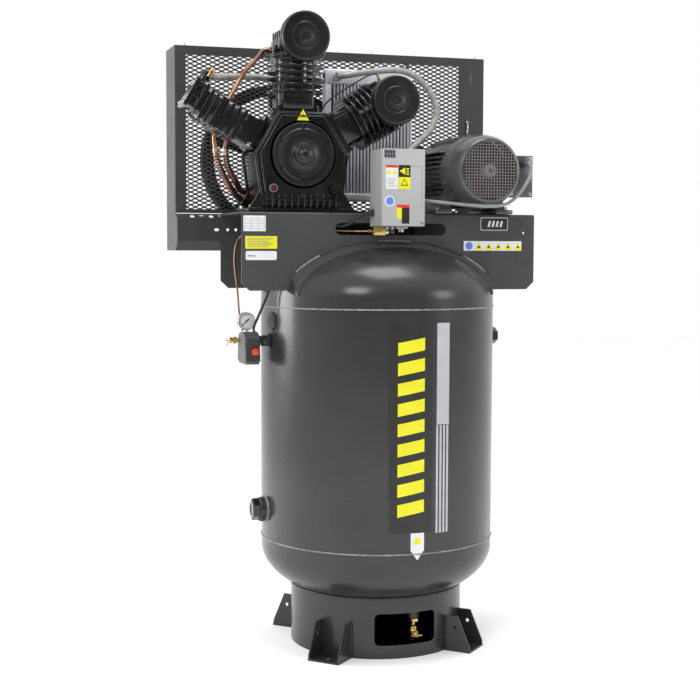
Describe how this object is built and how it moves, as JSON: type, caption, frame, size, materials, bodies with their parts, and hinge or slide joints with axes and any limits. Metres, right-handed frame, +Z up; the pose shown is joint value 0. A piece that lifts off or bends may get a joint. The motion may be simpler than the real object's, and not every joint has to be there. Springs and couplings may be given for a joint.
{
  "type": "vertical tank air compressor",
  "caption": "Upright air receiver on a ring skirt; a platform on its top head carries a three-cylinder pump, belt drive with mesh guard, electric motor and starter box.",
  "frame": {"origin": "on the floor, under the middle of the whole machine's bounding box", "axes": "+Z up the tank's axis; +X along the platform from pump to motor; -Y is the front, where the starter box and the fan end of the motor face"},
  "size_m": [1.1507, 0.762, 2.0235],
  "materials": {
    "aluminium": "plain mill finish",
    "black_gloss": "gloss black enamel on castings",
    "black_plastic": "moulded black",
    "box_paint": "light grey textured powder coat",
    "brass": "turned brass",
    "cast_iron": "as cast, machined where it runs",
    "copper": "drawn copper tube, heat tinted near its ends",
    "grey_paint": "semi-gloss dark grey powder coat",
    "grey_plastic": "grey cable sheath",
    "guard_paint": "satin dark grey powder coat",
    "motor_paint": "semi-gloss mid grey enamel",
    "red_plastic": "moulded red",
    "rubber": "matt black",
    "steel": "bright zinc-plated or ground steel"
  },
  "bodies": {
    "machine": {"aftercooler": "aluminium", "air_filter_center": "black_gloss", "air_filter_right": "black_gloss", "base_skirt": "grey_paint", "bearing_cover": "black_gloss", "crankcase": "black_gloss", "cylinder_center": "black_gloss", "cylinder_head_center": "black_gloss", "cylinder_head_left": "black_gloss", "cylinder_head_right": "black_gloss", "cylinder_left": "black_gloss", "cylinder_right": "black_gloss", "discharge_pipe": "steel", "drain_valve_body": "brass", "drive_belt": "rubber", "foot_bracket_front_left": "grey_paint", "foot_bracket_front_right": "grey_paint", "foot_bracket_rear_left": "grey_paint", "foot_bracket_rear_right": "grey_paint", "gauge_case": "steel", "guard_mesh_panel": "guard_paint", "guard_tray": "guard_paint", "intercooler_tubes": "copper", "interstage_pipe": "copper", "main_bearing_front": "steel", "main_bearing_rear": "steel", "motor_cable": "grey_plastic", "motor_fan_cover": "motor_paint", "motor_frame": "motor_paint", "motor_terminal_box": "motor_paint", "oil_filler_cap": "black_plastic", "oil_sight_glass": "red_plastic", "outlet_pipe": "steel", "pilot_tube": "copper", "port_plug_left": "black_gloss", "port_plug_right": "black_gloss", "pressure_switch": "black_plastic", "safety_valve": "brass", "starter_box": "box_paint", "switch_cable": "rubber", "tank": "grey_paint", "tank_nipple": "black_gloss", "top_platform": "grey_paint", "unloader_tube": "black_plastic"},
    "crank": {"crankshaft": "steel", "flywheel": "black_gloss"},
    "piston_center_body": {"piston_center": "aluminium", "connecting_rod_center": "cast_iron"},
    "piston_left_body": {"piston_left": "aluminium", "connecting_rod_left": "cast_iron"},
    "piston_right_body": {"piston_right": "aluminium", "connecting_rod_right": "cast_iron"},
    "motor_spinning": {"motor_rotor": "steel", "motor_fan": "red_plastic", "motor_pulley": "cast_iron"},
    "door": {"starter_door": "box_paint"},
    "knob": {"switch_knob": "red_plastic"},
    "needle": {"gauge_needle": "black_plastic"},
    "relief_ring": {"safety_valve_ring": "steel"},
    "drain_handle": {"drain_valve_handle": "brass"}
  },
  "joints": [
    {"name": "crank_spin", "type": "hinge", "parent": "machine", "child": "crank", "pos_m": [-0.2126, 0, 1.585], "axis": [0, 1, 0], "continuous": true},
    {"name": "motor_spin", "type": "hinge", "parent": "machine", "child": "motor_spinning", "pos_m": [0.3514, 0, 1.5376], "axis": [0, 1, 0], "continuous": true},
    {"name": "piston_center_slide", "type": "slide", "parent": "machine", "child": "piston_center_body", "axis": [0, 0, 1], "range_m": [-0.07, 0]},
    {"name": "piston_left_slide", "type": "slide", "parent": "machine", "child": "piston_left_body", "axis": [-0.866, 0, 0.5], "range_m": [-0.05, 0.02]},
    {"name": "piston_right_slide", "type": "slide", "parent": "machine", "child": "piston_right_body", "axis": [0.866, 0, 0.5], "range_m": [-0.05, 0.02]},
    {"name": "starter_door_hinge", "type": "hinge", "parent": "machine", "child": "door", "pos_m": [0.0024, -0.2624, 1.481], "axis": [0, 0, -1], "range_deg": [0, 110]},
    {"name": "switch_knob_turn", "type": "hinge", "parent": "machine", "child": "knob", "pos_m": [-0.3556, -0.0904, 0.967], "axis": [0, 1, 0], "range_deg": [0, 90]},
    {"name": "gauge_needle_turn", "type": "hinge", "parent": "machine", "child": "needle", "pos_m": [-0.3706, -0.0352, 1.0605], "axis": [0, 1, 0], "range_deg": [0, 264]},
    {"name": "relief_ring_pull", "type": "slide", "parent": "machine", "child": "relief_ring", "axis": [-1, 0, 0], "range_m": [0, 0.004], "stiffness_N_per_m": 2000},
    {"name": "drain_handle_turn", "type": "hinge", "parent": "machine", "child": "drain_handle", "pos_m": [0.1384, -0.2284, 0.057], "axis": [0, 1, 0], "range_deg": [0, 90]}
  ],
  "couplings": [
    {"joint": "motor_spin", "follows": "crank_spin", "ratio": 3.0854}
  ]
}
